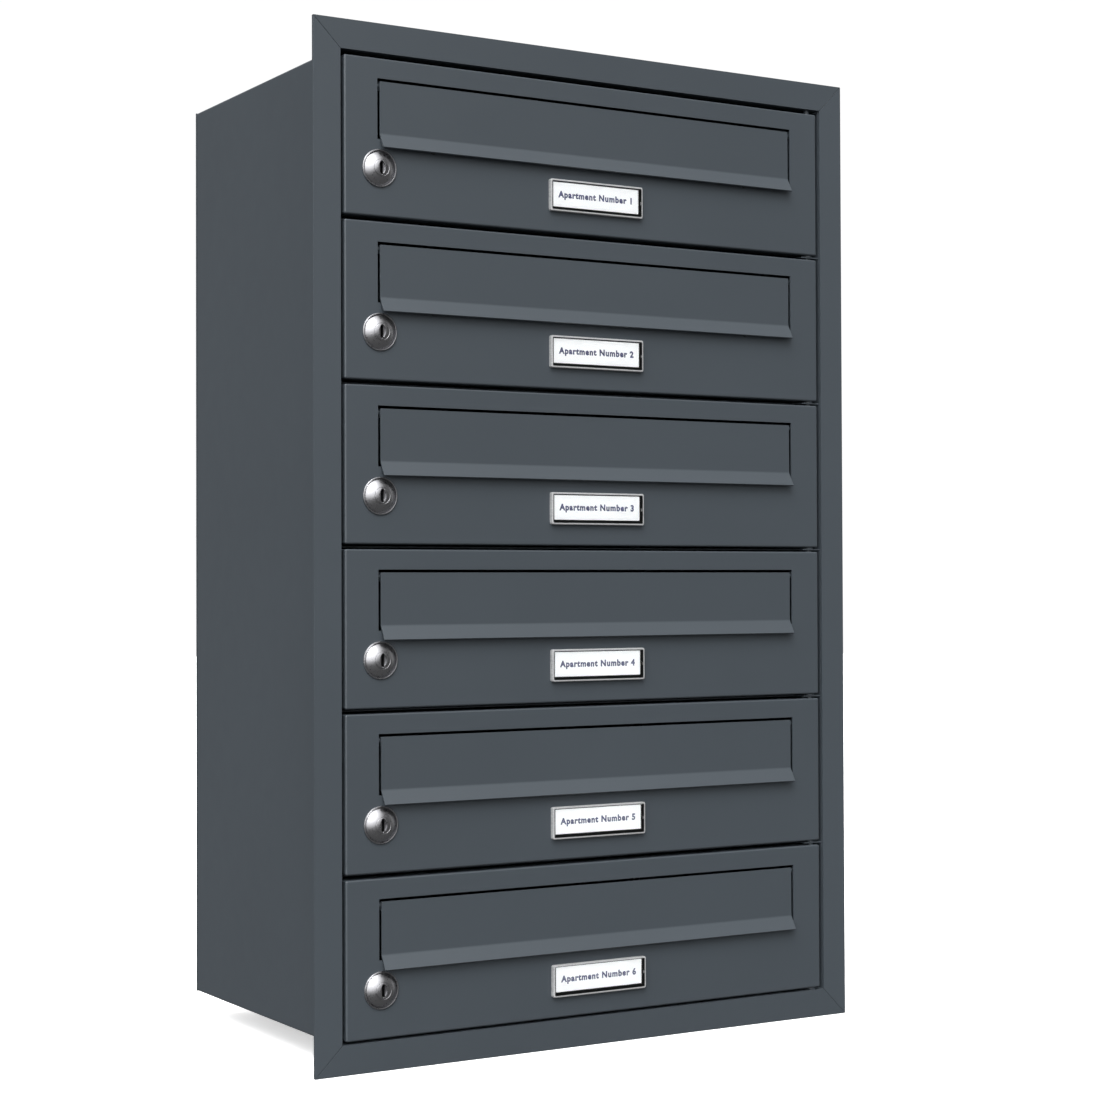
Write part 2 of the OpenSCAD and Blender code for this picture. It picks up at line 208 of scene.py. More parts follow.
def noise(material, place, scale, detail=2.0, stretch=(1.0, 1.0, 1.0)):
    """Fine noise on the object: scale is in grains per metre."""
    nodes = material.node_tree.nodes
    squeeze = nodes.new("ShaderNodeMapping")
    squeeze.inputs["Scale"].default_value = stretch
    grain = nodes.new("ShaderNodeTexNoise")
    grain.inputs["Scale"].default_value = scale
    grain.inputs["Detail"].default_value = detail
    material.node_tree.links.new(place, squeeze.inputs["Vector"])
    material.node_tree.links.new(squeeze.outputs["Vector"], grain.inputs["Vector"])
    return grain.outputs["Fac"]


def between(material, value, low=0.0, high=1.0, start=0.3, end=0.7):
    """Turns a noise value between start and end into one between low and high."""
    stretch = material.node_tree.nodes.new("ShaderNodeMapRange")
    stretch.inputs["From Min"].default_value = start
    stretch.inputs["From Max"].default_value = end
    stretch.inputs["To Min"].default_value = low
    stretch.inputs["To Max"].default_value = high
    material.node_tree.links.new(value, stretch.inputs["Value"])
    return stretch.outputs["Result"]


def tinted(material, value, dark, light):
    """A colour between dark and light, as the value goes from 0 to 1."""
    mix = material.node_tree.nodes.new("ShaderNodeMix")
    mix.data_type = "RGBA"
    mix.inputs["A"].default_value = (*dark, 1.0)
    mix.inputs["B"].default_value = (*light, 1.0)
    material.node_tree.links.new(value, mix.inputs["Factor"])
    return mix.outputs["Result"]


def added(material, first, second):
    """The sum of two values."""
    total = material.node_tree.nodes.new("ShaderNodeMath")
    total.operation = "ADD"
    material.node_tree.links.new(first, total.inputs[0])
    material.node_tree.links.new(second, total.inputs[1])
    return total.outputs["Value"]


def relief(material, shader, height, depth):
    """Raises the surface by the height value, depth in metres at a value of 1."""
    bump = material.node_tree.nodes.new("ShaderNodeBump")
    bump.inputs["Distance"].default_value = depth
    bump.inputs["Strength"].default_value = 1.0
    material.node_tree.links.new(height, bump.inputs["Height"])
    material.node_tree.links.new(bump.outputs["Normal"], shader.inputs["Normal"])


def shade_of(tone, factor):
    """A tone made darker or lighter by a factor."""
    return tuple(channel * factor for channel in tone)


def powder_coat(name, tone):
    """Satin powder coat with fine orange peel, faint mottling and dust-fine specks."""
    material, shader, place = paint_box(name)
    link = material.node_tree.links.new
    mottle = between(material, noise(material, place, MOTTLE_SCALE, 3.0), 0.0, MOTTLE_SHARE)
    speck = between(material, noise(material, place, SPECK_SCALE, 1.0), 0.0, SPECK_SHARE)
    tone_value = added(material, mottle, speck)
    colour = tinted(material, tone_value, shade_of(tone, COAT_DARK), shade_of(tone, COAT_LIGHT))
    link(colour, shader.inputs["Base Color"])
    haze = noise(material, place, HAZE_SCALE, 3.0)
    link(between(material, haze, *COAT_ROUGH), shader.inputs["Roughness"])
    peel = noise(material, place, PEEL_SCALE)
    grit = between(material, noise(material, place, GRIT_SCALE, 1.0), 0.0, GRIT_SHARE)
    relief(material, shader, added(material, peel, grit), COAT_RELIEF)
    return material


def rounded_box(centre_x, centre_z, width, height, radius, y, steps=FOLD_STEPS):
    """The points round a rectangle with round corners, in a plane across Y."""
    points = []
    for corner in range(4):
        turn = corner * pi / 2
        side_x = (1, -1, -1, 1)[corner]
        side_z = (1, 1, -1, -1)[corner]
        x = centre_x + side_x * (width / 2 - radius)
        z = centre_z + side_z * (height / 2 - radius)
        for step in range(steps + 1):
            angle = turn + step * pi / 2 / steps
            points.append((x + radius * cos(angle), y, z + radius * sin(angle)))
    return points


def loft(bm, loops, ends):
    """Skins loops of equally many points; ends is "caps" or "ring"."""
    rows = [[bm.verts.new(point) for point in loop] for loop in loops]
    count = len(rows[0])
    pairs = list(zip(rows, rows[1:]))
    if ends == "ring":
        pairs.append((rows[-1], rows[0]))
    else:
        bm.faces.new(rows[0])
        bm.faces.new(list(reversed(rows[-1])))
    for lower, upper in pairs:
        for i in range(count):
            j = (i + 1) % count
            bm.faces.new((lower[i], lower[j], upper[j], upper[i]))


def piece(bm, name, material, body, stands_for=()):
    """Turns a mesh under construction into a finished piece on a body."""
    bmesh.ops.recalc_face_normals(bm, faces=bm.faces)
    mesh = bpy.data.meshes.new(name)
    bm.to_mesh(mesh)
    bm.free()
    mesh.shade_smooth()
    mesh.set_sharp_from_angle(angle=radians(SMOOTH_BELOW))
    mesh.materials.append(material)
    made = bpy.data.objects.new(name, mesh)
    scene.collection.objects.link(made)
    even = made.modifiers.new("even_shading", "WEIGHTED_NORMAL")
    even.keep_sharp = True
    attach(made, body)
    if stands_for:
        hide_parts(*stands_for)
    return made


coat = powder_coat("satin_coat", COAT_TONE)

case_low, case_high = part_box("casing")
case_mid_x = (case_low.x + case_high.x) / 2
case_mid_z = (case_low.z + case_high.z) / 2
case_w = case_high.x - case_low.x
case_h = case_high.z - case_low.z
# Inset from the outside and place along Y of each bend of the folded section
case_section = [
    (FRONT_EASE, case_low.y),
    (0.0, case_low.y + FRONT_EASE),
    (0.0, case_high.y - CASING_CORNER),
    (CASING_CORNER * BEND_SHARE, case_high.y - CASING_CORNER * BEND_SHARE),
    (CASING_CORNER, case_high.y),
    (SHEET + REAR_STRIP, case_high.y),
    (SHEET + REAR_STRIP, case_high.y - SHEET),
    (SHEET + INNER_BEND, case_high.y - SHEET),
    (SHEET, case_high.y - SHEET - INNER_BEND),
    (SHEET, case_low.y + FRONT_EASE),
    (SHEET - FRONT_EASE, case_low.y),
]
bm = bmesh.new()
case_loops = []
for inset, y in case_section:
    corner = max(CASING_CORNER - inset, LEAST_CORNER)
    width = case_w - 2 * inset
    height = case_h - 2 * inset
    case_loops.append(rounded_box(case_mid_x, case_mid_z, width, height, corner, y))
loft(bm, case_loops, "ring")
piece(bm, "casing_wrap", coat, "casing", ["casing"])

# ---- Back panel, shelves and welded angles ----
# Flat sheets with their burrs taken off: the panel, the shelves and the pins in
# them are coated with the casing, and the strikes and corner angles are zinc plated.
ZINC_TONE = (0.60, 0.61, 0.63)
ZINC_DARK = 0.86
ZINC_LIGHT = 1.06
ZINC_ROUGH = (0.27, 0.43)
ZINC_RELIEF = 0.000012
PATCH_SCALE = 160.0
BLOOM_SCALE = 420.0
DRAWN_SCALE = 900.0
DRAWN_STRETCH = (1.0, 1.0, 0.12)
MERGE = 2e-6
FLAT_WITHIN = 0.5
SHEET_EASE = 0.0002
BAR_EASE = 0.0003
PIN_DROP = 0.00004


def sharp_edges(bm, least=40.0):
    """The edges whose two faces turn by more than least degrees."""
    return [
        edge
        for edge in bm.edges
        if len(edge.link_faces) == 2 and edge.calc_face_angle(0.0) > radians(least)
    ]


def round_off(bm, edges, radius, steps):
    """Rounds these edges."""
    bmesh.ops.bevel(
        bm,
        geom=edges,
        offset=radius,
        offset_type="OFFSET",
        segments=steps,
        profile=0.5,
        affect="EDGES",
        clamp_overlap=True,
    )


def clean_copy(node):
    """The designed shape as one clean mesh with its flat faces whole."""
    bm = bmesh.new()
    bm.from_mesh(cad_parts[node].data)
    bmesh.ops.remove_doubles(bm, verts=bm.verts, dist=MERGE)
    flat = radians(FLAT_WITHIN)
    bmesh.ops.dissolve_limit(bm, angle_limit=flat, verts=bm.verts, edges=bm.edges)
    return bm


def deburred(node, radius, steps=2):
    """The designed shape with all its sharp edges rounded a little."""
    bm = clean_copy(node)
    round_off(bm, sharp_edges(bm), radius, steps)
    return bm


def zinc_plate(name, tone):
    """Bright zinc plating: dull patches, fine drawing marks and a bluish cast."""
    material, shader, place = paint_box(name)
    link = material.node_tree.links.new
    shader.inputs["Metallic"].default_value = 1.0
    patches = between(material, noise(material, place, PATCH_SCALE, 4.0))
    colour = tinted(material, patches, shade_of(tone, ZINC_DARK), shade_of(tone, ZINC_LIGHT))
    link(colour, shader.inputs["Base Color"])
    bloom = noise(material, place, BLOOM_SCALE, 3.0)
    link(between(material, bloom, *ZINC_ROUGH), shader.inputs["Roughness"])
    marks = noise(material, place, DRAWN_SCALE, 2.0, DRAWN_STRETCH)
    relief(material, shader, marks, ZINC_RELIEF)
    return material


zinc = zinc_plate("zinc_plating", ZINC_TONE)
piece(deburred("back_panel", SHEET_EASE), "rear_panel", coat, "casing", ["back_panel"])
piece(deburred("shelves", SHEET_EASE), "shelf_sheets", coat, "casing", ["shelves"])
piece(deburred("lock_strikes", BAR_EASE), "strikes", zinc, "casing", ["lock_strikes"])
piece(deburred("trim_corners", SHEET_EASE), "corner_angles", zinc, "casing", ["trim_corners"])
pins = deburred("hinge_pins", SHEET_EASE)
bmesh.ops.translate(pins, verts=pins.verts, vec=(0.0, 0.0, -PIN_DROP))
piece(pins, "door_pins", coat, "casing", ["hinge_pins"])

# ---- Trim frame ----
# Four mitred bars of 2 mm steel angle, each coated by itself, so that their
# tones differ a little. A fine dark line shows where two bars meet.
TRIM_EDGE = 0.00035
MITRE_GAP = 0.00013
MITRE_FACING = 0.6
UPRIGHT_TONE = 1.05


def mitred_bar(node):
    """A bar with its mitred ends eased back and its edges broken."""
    bm = clean_copy(node)
    ends = [face for face in bm.faces if min(abs(face.normal.x), abs(face.normal.z)) > MITRE_FACING]
    for face in ends:
        bmesh.ops.translate(bm, verts=face.verts, vec=-MITRE_GAP * face.normal)
    round_off(bm, sharp_edges(bm), TRIM_EDGE, 3)
    return bm


upright_coat = powder_coat("upright_coat", shade_of(COAT_TONE, UPRIGHT_TONE))
bar_finishes = {"top": coat, "bottom": coat, "left": upright_coat, "right": upright_coat}
for side, finish in bar_finishes.items():
    bar = mitred_bar(f"trim_{side}")
    piece(bar, f"trim_bar_{side}", finish, "casing", [f"trim_{side}"])

# ---- Trim screws ----
# Countersunk screws with a cross recess that hold the trim's legs to the
# casing, six on each side and two above and below.
SCREW_HEAD = 0.006
SCREW_SHANK = 0.0032
SCREW_HEAD_DEEP = 0.0015
SCREW_LENGTH = 0.0030
SCREW_SEED = 11
SCREW_SPREAD = 0.120
HEAD_SIDES = 32
SHANK_SIDES = 24
SHANK_OUT = 0.96


def group_with(name, sockets):
    """A new geometry tree with these named inputs: (name, socket type, default)."""
    tree = bpy.data.node_groups.new(name, "GeometryNodeTree")
    for label, kind, value in sockets:
        socket = tree.interface.new_socket(label, in_out="INPUT", socket_type=kind)
        if value is not None:
            socket.default_value = value
    tree.interface.new_socket("Geometry", in_out="OUTPUT", socket_type="NodeSocketGeometry")
    return tree, tree.nodes.new("NodeGroupInput"), tree.nodes.new("NodeGroupOutput")


PLACING = [
    ("Count", "NodeSocketInt", 2),
    ("Start", "NodeSocketVector", (0.0, 0.0, 0.0)),
    ("Step", "NodeSocketVector", (0.0, 0.0, 0.1)),
    ("Turn", "NodeSocketRotation", None),
    ("Seed", "NodeSocketInt", 0),
    ("Finish", "NodeSocketMaterial", None),
]


def place_in_row(tree, given, made, shape):
    """Sets the shape along a line, each turned a little about itself."""
    nodes = tree.nodes
    link = tree.links.new
    line = nodes.new("GeometryNodeMeshLine")
    line.mode = "OFFSET"
    line.count_mode = "TOTAL"
    link(given.outputs["Count"], line.inputs["Count"])
    link(given.outputs["Start"], line.inputs["Start Location"])
    link(given.outputs["Step"], line.inputs["Offset"])
    copies = nodes.new("GeometryNodeInstanceOnPoints")
    link(line.outputs["Mesh"], copies.inputs["Points"])
    link(shape, copies.inputs["Instance"])
    link(given.outputs["Turn"], copies.inputs["Rotation"])
    # This node's plain number goes from 0 to its input 3, and comes out at output 1
    chance = nodes.new("FunctionNodeRandomValue")
    chance.data_type = "FLOAT"
    chance.inputs[3].default_value = 2 * pi
    link(given.outputs["Seed"], chance.inputs["Seed"])
    about = nodes.new("ShaderNodeCombineXYZ")
    link(chance.outputs[1], about.inputs["Z"])
    spun = nodes.new("GeometryNodeRotateInstances")
    link(copies.outputs["Instances"], spun.inputs["Instances"])
    link(about.outputs["Vector"], spun.inputs["Rotation"])
    real = nodes.new("GeometryNodeRealizeInstances")
    link(spun.outputs["Instances"], real.inputs["Geometry"])
    finish = nodes.new("GeometryNodeSetMaterial")
    link(real.outputs["Geometry"], finish.inputs["Geometry"])
    link(given.outputs["Finish"], finish.inputs["Material"])
    link(finish.outputs["Geometry"], made.inputs["Geometry"])


def share_of(tree, value, share):
    """A share of a value."""
    part = tree.nodes.new("ShaderNodeMath")
    part.operation = "MULTIPLY"
    part.inputs[1].default_value = share
    tree.links.new(value, part.inputs[0])
    return part.outputs["Value"]


def lifted(tree, shape, height, share):
    """Moves a shape along Z by a share of a height."""
    up = tree.nodes.new("ShaderNodeCombineXYZ")
    tree.links.new(share_of(tree, height, share), up.inputs["Z"])
    move = tree.nodes.new("GeometryNodeTransform")
    tree.links.new(shape, move.inputs["Geometry"])
    tree.links.new(up.outputs["Vector"], move.inputs["Translation"])
    return move.outputs["Geometry"]


def cone_on_shank(tree, given):
    """A head on a shank: the head stands on z = 0 and the shank hangs below it."""
    nodes = tree.nodes
    link = tree.links.new
    head = nodes.new("GeometryNodeMeshCone")
    head.inputs["Vertices"].default_value = HEAD_SIDES
    link(share_of(tree, given.outputs["Face diameter"], 0.5), head.inputs["Radius Top"])
    link(share_of(tree, given.outputs["Base diameter"], 0.5), head.inputs["Radius Bottom"])
    link(given.outputs["Head height"], head.inputs["Depth"])
    shank = nodes.new("GeometryNodeMeshCylinder")
    shank.inputs["Vertices"].default_value = SHANK_SIDES
    link(share_of(tree, given.outputs["Shank diameter"], 0.5), shank.inputs["Radius"])
    link(given.outputs["Shank length"], shank.inputs["Depth"])
    low = lifted(tree, shank.outputs["Mesh"], given.outputs["Shank length"], 0.5 - SHANK_OUT)
    whole = nodes.new("GeometryNodeMeshBoolean")
    whole.operation = "UNION"
    link(head.outputs["Mesh"], whole.inputs["Mesh 2"])
    link(low, whole.inputs["Mesh 2"])
    return whole.outputs["Mesh"]


HEAD_SIZES = [
    ("Face diameter", "NodeSocketFloat", 0.006),
    ("Base diameter", "NodeSocketFloat", 0.003),
    ("Head height", "NodeSocketFloat", 0.001),
    ("Shank diameter", "NodeSocketFloat", 0.003),
    ("Shank length", "NodeSocketFloat", 0.003),
]


def screw_tree():
    """Countersunk screws in a row, each with a cross recess."""
    recess = [
        ("Recess length", "NodeSocketFloat", 0.003),
        ("Recess width", "NodeSocketFloat", 0.0006),
        ("Recess depth", "NodeSocketFloat", 0.0011),
    ]
    tree, given, made = group_with("screw_row", HEAD_SIZES + recess + PLACING)
    link = tree.links.new
    body = cone_on_shank(tree, given)
    cut = tree.nodes.new("GeometryNodeMeshBoolean")
    cut.operation = "DIFFERENCE"
    link(body, cut.inputs["Mesh 1"])
    for first, second in (("X", "Y"), ("Y", "X")):
        size = tree.nodes.new("ShaderNodeCombineXYZ")
        link(given.outputs["Recess length"], size.inputs[first])
        link(given.outputs["Recess width"], size.inputs[second])
        link(given.outputs["Recess depth"], size.inputs["Z"])
        slit = tree.nodes.new("GeometryNodeMeshCube")
        link(size.outputs["Vector"], slit.inputs["Size"])
        raised = lifted(tree, slit.outputs["Mesh"], given.outputs["Head height"], 1.0)
        link(raised, cut.inputs["Mesh 2"])
    place_in_row(tree, given, made, cut.outputs["Mesh"])
    return tree


def row_of(tree, values):
    """The mesh that a tree makes from these named values, as a mesh under construction."""
    holder_mesh = bpy.data.meshes.new("holder")
    holder = bpy.data.objects.new("holder", holder_mesh)
    scene.collection.objects.link(holder)
    maker = holder.modifiers.new("maker", "NODES")
    maker.node_group = tree
    for item in tree.interface.items_tree:
        if item.item_type == "SOCKET" and item.in_out == "INPUT" and item.name in values:
            maker[item.identifier] = values[item.name]
    bpy.context.view_layer.update()
    ready = holder.evaluated_get(bpy.context.evaluated_depsgraph_get())
    mesh = bpy.data.meshes.new_from_object(ready)
    bpy.data.objects.remove(holder)
    bpy.data.meshes.remove(holder_mesh)
    bm = bmesh.new()
    bm.from_mesh(mesh)
    bpy.data.meshes.remove(mesh)
    bmesh.ops.remove_doubles(bm, verts=bm.verts, dist=MERGE)
    return bm


def joined(parts):
    """One mesh under construction out of several."""
    whole = bmesh.new()
    for part in parts:
        holder = bpy.data.meshes.new("part")
        part.to_mesh(holder)
        part.free()
        whole.from_mesh(holder)
        bpy.data.meshes.remove(holder)
    return whole


screws = screw_tree()
screw_low, screw_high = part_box("trim_screws")
rows = len([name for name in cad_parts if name.startswith("door_")])
first_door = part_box("door_1")
last_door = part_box(f"door_{rows}")
first_z = (first_door[0].z + first_door[1].z) / 2
last_z = (last_door[0].z + last_door[1].z) / 2
row_step = (last_z - first_z) / (rows - 1)
screw_y = (screw_low.y + screw_high.y) / 2
screw_sizes = {
    "Face diameter": SCREW_HEAD,
    "Base diameter": SCREW_SHANK,
    "Head height": SCREW_HEAD_DEEP,
    "Shank diameter": SCREW_SHANK,
    "Shank length": SCREW_LENGTH,
    "Finish": zinc,
}
left_x = screw_low.x + SCREW_HEAD_DEEP
right_x = screw_high.x - SCREW_HEAD_DEEP
top_z = screw_high.z - SCREW_HEAD_DEEP
bottom_z = screw_low.z + SCREW_HEAD_DEEP
# First screw, step to the next, how many, and the turn that points the head outwards
screw_places = [
    ((left_x, screw_y, first_z), (0, 0, row_step), rows, (0, -pi / 2, 0)),
    ((right_x, screw_y, first_z), (0, 0, row_step), rows, (0, pi / 2, 0)),
    ((-SCREW_SPREAD, screw_y, top_z), (2 * SCREW_SPREAD, 0, 0), 2, (0, 0, 0)),
    ((-SCREW_SPREAD, screw_y, bottom_z), (2 * SCREW_SPREAD, 0, 0), 2, (pi, 0, 0)),
]
screw_rows = []
for number, (start, step, count, turn) in enumerate(screw_places):
    screw_sizes.update({"Count": count, "Start": start, "Step": step, "Turn": turn})
    screw_sizes["Seed"] = SCREW_SEED + number
    screw_rows.append(row_of(screws, screw_sizes))
piece(joined(screw_rows), "frame_screws", zinc, "casing", ["trim_screws"])

# ---- Rivets of the back panel ----
# Zinc-plated steel rivets: their heads are inside, and their ends are hammered
# flush with the back panel.
RIVET_HEAD = 0.0072
RIVET_FACE = 0.0046
RIVET_HEAD_HIGH = 0.0012
RIVET_SHANK = 0.004
RIVET_STEP = 0.120


def stud_tree():
    """Studs in a row: a low tapered head on a shank."""
    tree, given, made = group_with("stud_row", HEAD_SIZES + PLACING)
    place_in_row(tree, given, made, cone_on_shank(tree, given))
    return tree


studs = stud_tree()
rivet_low, rivet_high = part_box("back_rivets")
rivet_sizes = {
    "Face diameter": RIVET_FACE,
    "Base diameter": RIVET_HEAD,
    "Head height": RIVET_HEAD_HIGH,
    "Shank diameter": RIVET_SHANK,
    "Shank length": (rivet_high.y - rivet_low.y - RIVET_HEAD_HIGH) / SHANK_OUT,
    "Turn": (pi / 2, 0, 0),
    "Finish": zinc,
}
rivet_x = rivet_high.x - RIVET_HEAD / 2
rivet_top = rivet_high.z - RIVET_HEAD / 2
rivet_bottom = rivet_low.z + RIVET_HEAD / 2
rivet_y = rivet_low.y + RIVET_HEAD_HIGH
rivet_rows = []
for start, step, count in (
    ((-rivet_x, rivet_y, first_z), (0, 0, row_step), rows),
    ((rivet_x, rivet_y, first_z), (0, 0, row_step), rows),
    ((-RIVET_STEP, rivet_y, rivet_top), (RIVET_STEP, 0, 0), 3),
    ((-RIVET_STEP, rivet_y, rivet_bottom), (RIVET_STEP, 0, 0), 3),
):
    rivet_sizes.update({"Count": count, "Start": start, "Step": step})
    rivet_rows.append(row_of(studs, rivet_sizes))
piece(joined(rivet_rows), "panel_rivets", zinc, "casing", ["back_rivets"])

# ---- Hole plugs ----
# Black plastic plugs pushed from inside into the four wall-fixing holes of the
# back panel until the unit is screwed to its wall.
HOLE_APART = 0.300
HOLE_RISE = 0.275
PLUG_HEAD = 0.0125
PLUG_FACE = 0.0105
PLUG_HEAD_HIGH = 0.0014
PLUG_SHANK = 0.0083
PLASTIC_TONES = ((0.010, 0.010, 0.011), (0.020, 0.020, 0.021))
PLASTIC_ROUGH = (0.5, 0.64)
PLASTIC_GRAIN = (1300.0, 3.0)
PLASTIC_RELIEF = 0.000014


def grained(name, tones, rough, grain, depth):
    """A finish whose one grain (scale, detail and stretch) sets its tone, gloss and relief."""
    material, shader, place = paint_box(name)
    link = material.node_tree.links.new
    value = between(material, noise(material, place, *grain))
    link(tinted(material, value, *tones), shader.inputs["Base Color"])
    link(between(material, value, *rough, 0.0, 1.0), shader.inputs["Roughness"])
    relief(material, shader, value, depth)
    return material


# Matt black moulded plastic with a fine spark texture
moulded = grained("black_plastic", PLASTIC_TONES, PLASTIC_ROUGH, PLASTIC_GRAIN, PLASTIC_RELIEF)
panel_low, panel_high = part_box("back_panel")
hole_mid = (panel_low + panel_high) / 2
plug_rows = []
for rise in (-HOLE_RISE, HOLE_RISE):
    plug_values = {
        "Face diameter": PLUG_FACE,
        "Base diameter": PLUG_HEAD,
        "Head height": PLUG_HEAD_HIGH,
        "Shank diameter": PLUG_SHANK,
        "Shank length": panel_high.y - panel_low.y,
        "Count": 2,
        "Start": (hole_mid.x - HOLE_APART / 2, panel_low.y, hole_mid.z + rise),
        "Step": (HOLE_APART, 0, 0),
        "Turn": (pi / 2, 0, 0),
        "Finish": moulded,
    }
    plug_rows.append(row_of(studs, plug_values))
piece(joined(plug_rows), "hole_plugs", moulded, "casing")

# ---- Doors ----
# A door is one folded tray of 1.2 mm sheet: its outer folds have a small
# radius, and the cut edges of its slot and holes are only deburred.
DOOR_FOLD = 0.0013
DOOR_INSIDE = 0.0004
CUT_EDGE = 0.00018
CUT_TURN = 60.0
CORNER_LENGTH = 0.005
NEAR = 2e-5


def on_box(vert, low, high):
    """On how many of the four side planes of a box a vertex lies."""
    return sum(
        (
            abs(vert.co.x - low.x) < NEAR,
            abs(vert.co.x - high.x) < NEAR,
            abs(vert.co.z - low.z) < NEAR,
            abs(vert.co.z - high.z) < NEAR,
        )
    )


def fold_edges(bm, low, high, front):
    """The edges along the folds of a tray whose face is at y = front."""
    found = []
    for edge in sharp_edges(bm):
        first, second = edge.verts
        at_front = all(abs(v.co.y - front) < NEAR for v in edge.verts)
        corner = on_box(first, low, high) == 2 and on_box(second, low, high) == 2
        along_y = abs(first.co.y - second.co.y) > CORNER_LENGTH
        on_side = on_box(first, low, high) > 0 and on_box(second, low, high) > 0
        if (at_front and on_side) or (corner and along_y):
            found.append(edge)
    return found


def folded_door(number):
    """The door's tray with its folds rounded outside and inside."""
    bm = clean_copy(f"door_{number}")
    low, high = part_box(f"door_{number}")
    round_off(bm, fold_edges(bm, low, high, low.y), DOOR_FOLD, 4)
    inset = Vector((SHEET, SHEET, SHEET))
    inner = fold_edges(bm, low + inset, high - inset, low.y + SHEET)
    round_off(bm, inner, DOOR_INSIDE, 2)
    round_off(bm, sharp_edges(bm, CUT_TURN), CUT_EDGE, 2)
    return bm


for n in range(1, rows + 1):
    piece(folded_door(n), f"door_tray_{n}", coat, f"door_{n}", [f"door_{n}"])

# ---- Flaps and their rods ----
# Each flap is bent from the door's sheet with a lip to lift it by, and hangs
# on a rod between two tabs behind the door; both are coated like the door.
for n in range(1, rows + 1):
    flap = deburred(f"flap_{n}", BAR_EASE, 3)
    piece(flap, f"mail_flap_{n}", coat, f"flap_{n}", [f"flap_{n}"])
    rod = deburred(f"flap_rod_{n}", BAR_EASE, 3)
    piece(rod, f"rod_{n}", coat, f"door_{n}", [f"flap_rod_{n}"])

# ---- Locks ----
# A cam lock has a polished nickel-plated head with a low dome over a thin rim,
# a threaded body with a nut behind the door, and a plug that turns the cam.
HEAD_RADIUS = 0.0127
HEAD_ROUND = 0.0002
DOME_RADIUS = 0.0119
DOME_HIGH = 0.00512
DOME_INSET = 0.0002
DOME_STEPS = 10
RIM_THICK = 0.0012
# Steps out of the rim's face and steps from the dome's or the head's radius
GROOVE = ((-0.00005, -0.00005), (0.00008, 0.00008), (0.0, 0.00025))
RIM_ROUND = ((0.00002, -0.00035), (0.00012, -0.00010), (0.00035, 0.0))
BODY_RADIUS = 0.00845
BODY_CHAMFER = 0.0006
BORE_RADIUS = 0.00555
BORE_EASE = 0.00022
BORE_LIP = 0.00012
BORE_STRAIGHT = 0.003
THREAD_PITCH = 0.001
THREAD_DEEP = 0.00045
THREAD_HALF = 0.42
THREAD_FADE = 6
THREAD_START = 0.0001
THREAD_STOP = 0.0003
THREAD_SUNK = 0.00005
TURN_STEPS = 72
KEYWAY_EASE = 0.00012
NICKEL_TONE = (0.32, 0.32, 0.333)
NICKEL_DARK = 0.95
NICKEL_ROUGH = (0.25, 0.37)
NICKEL_RELIEF = 0.0000015
TARNISH_SCALE = 300.0
POLISH_SCALE = 700.0
HAIRLINE_SCALE = 1800.0
HAIRLINE_STRETCH = (1.0, 1.0, 0.2)


def polished_nickel(name, tone):
    """Smoky nickel plating, softly polished, with a faint haze and hairline marks."""
    material, shader, place = paint_box(name)
    link = material.node_tree.links.new
    shader.inputs["Metallic"].default_value = 1.0
    haze = between(material, noise(material, place, TARNISH_SCALE, 3.0))
    link(tinted(material, haze, shade_of(tone, NICKEL_DARK), tone), shader.inputs["Base Color"])
    polish = noise(material, place, POLISH_SCALE, 3.0)
    link(between(material, polish, *NICKEL_ROUGH), shader.inputs["Roughness"])
    hairlines = noise(material, place, HAIRLINE_SCALE, 2.0, HAIRLINE_STRETCH)
    relief(material, shader, hairlines, NICKEL_RELIEF)
    return material


def turned(bm, profile, centre, closed):
    """Turns a profile of (place along Y, radius) pairs about an axis along Y."""
    rings = []
    for y, radius in profile:
        if radius < MERGE:
            rings.append([bm.verts.new((centre.x, y, centre.z))])
            continue
        ring = []
        for step in range(TURN_STEPS):
            angle = 2 * pi * step / TURN_STEPS
            point = (centre.x + radius * cos(angle), y, centre.z + radius * sin(angle))
            ring.append(bm.verts.new(point))
        rings.append(ring)
    pairs = list(zip(rings, rings[1:]))
    if closed:
        pairs.append((rings[-1], rings[0]))
    for first, second in pairs:
        for i in range(TURN_STEPS):
            j = (i + 1) % TURN_STEPS
            corners = [first[i % len(first)], first[j % len(first)]]
            corners += [second[j % len(second)], second[i % len(second)]]
            corners = list(dict.fromkeys(corners))
            if len(corners) > 2:
                bm.faces.new(corners)


def helix(bm, centre, start, end, root, crest, pitch):
    """A screw thread: one ridge wound round an axis along Y."""
    per_turn = TURN_STEPS // 2
    count = int(((end - start) / pitch - 1) * per_turn)
    sections = []
    for step in range(count + 1):
        angle = 2 * pi * step / per_turn
        y = start + pitch * (0.5 + step / per_turn)
        fade = min(1.0, step / THREAD_FADE, (count - step) / THREAD_FADE)
        ridge = ((root, -THREAD_HALF), (root + (crest - root) * fade, 0.0), (root, THREAD_HALF))
        section = []
        for radius, shift in ridge:
            x = centre.x + radius * cos(angle)
            z = centre.z + radius * sin(angle)
            section.append(bm.verts.new((x, y + shift * pitch, z)))
        sections.append(section)
    for first, second in zip(sections, sections[1:]):
        for i in range(3):
            j = (i + 1) % 3
            bm.faces.new((first[i], first[j], second[j], second[i]))
    bm.faces.new(sections[0])
    bm.faces.new(list(reversed(sections[-1])))


def dome_at(radius, face):
    """How far out the dome stands at a radius: its place along Y."""
    sphere = (DOME_RADIUS**2 + DOME_HIGH**2) / (2 * DOME_HIGH)
    return face - DOME_HIGH + sphere - sqrt(sphere**2 - radius**2)


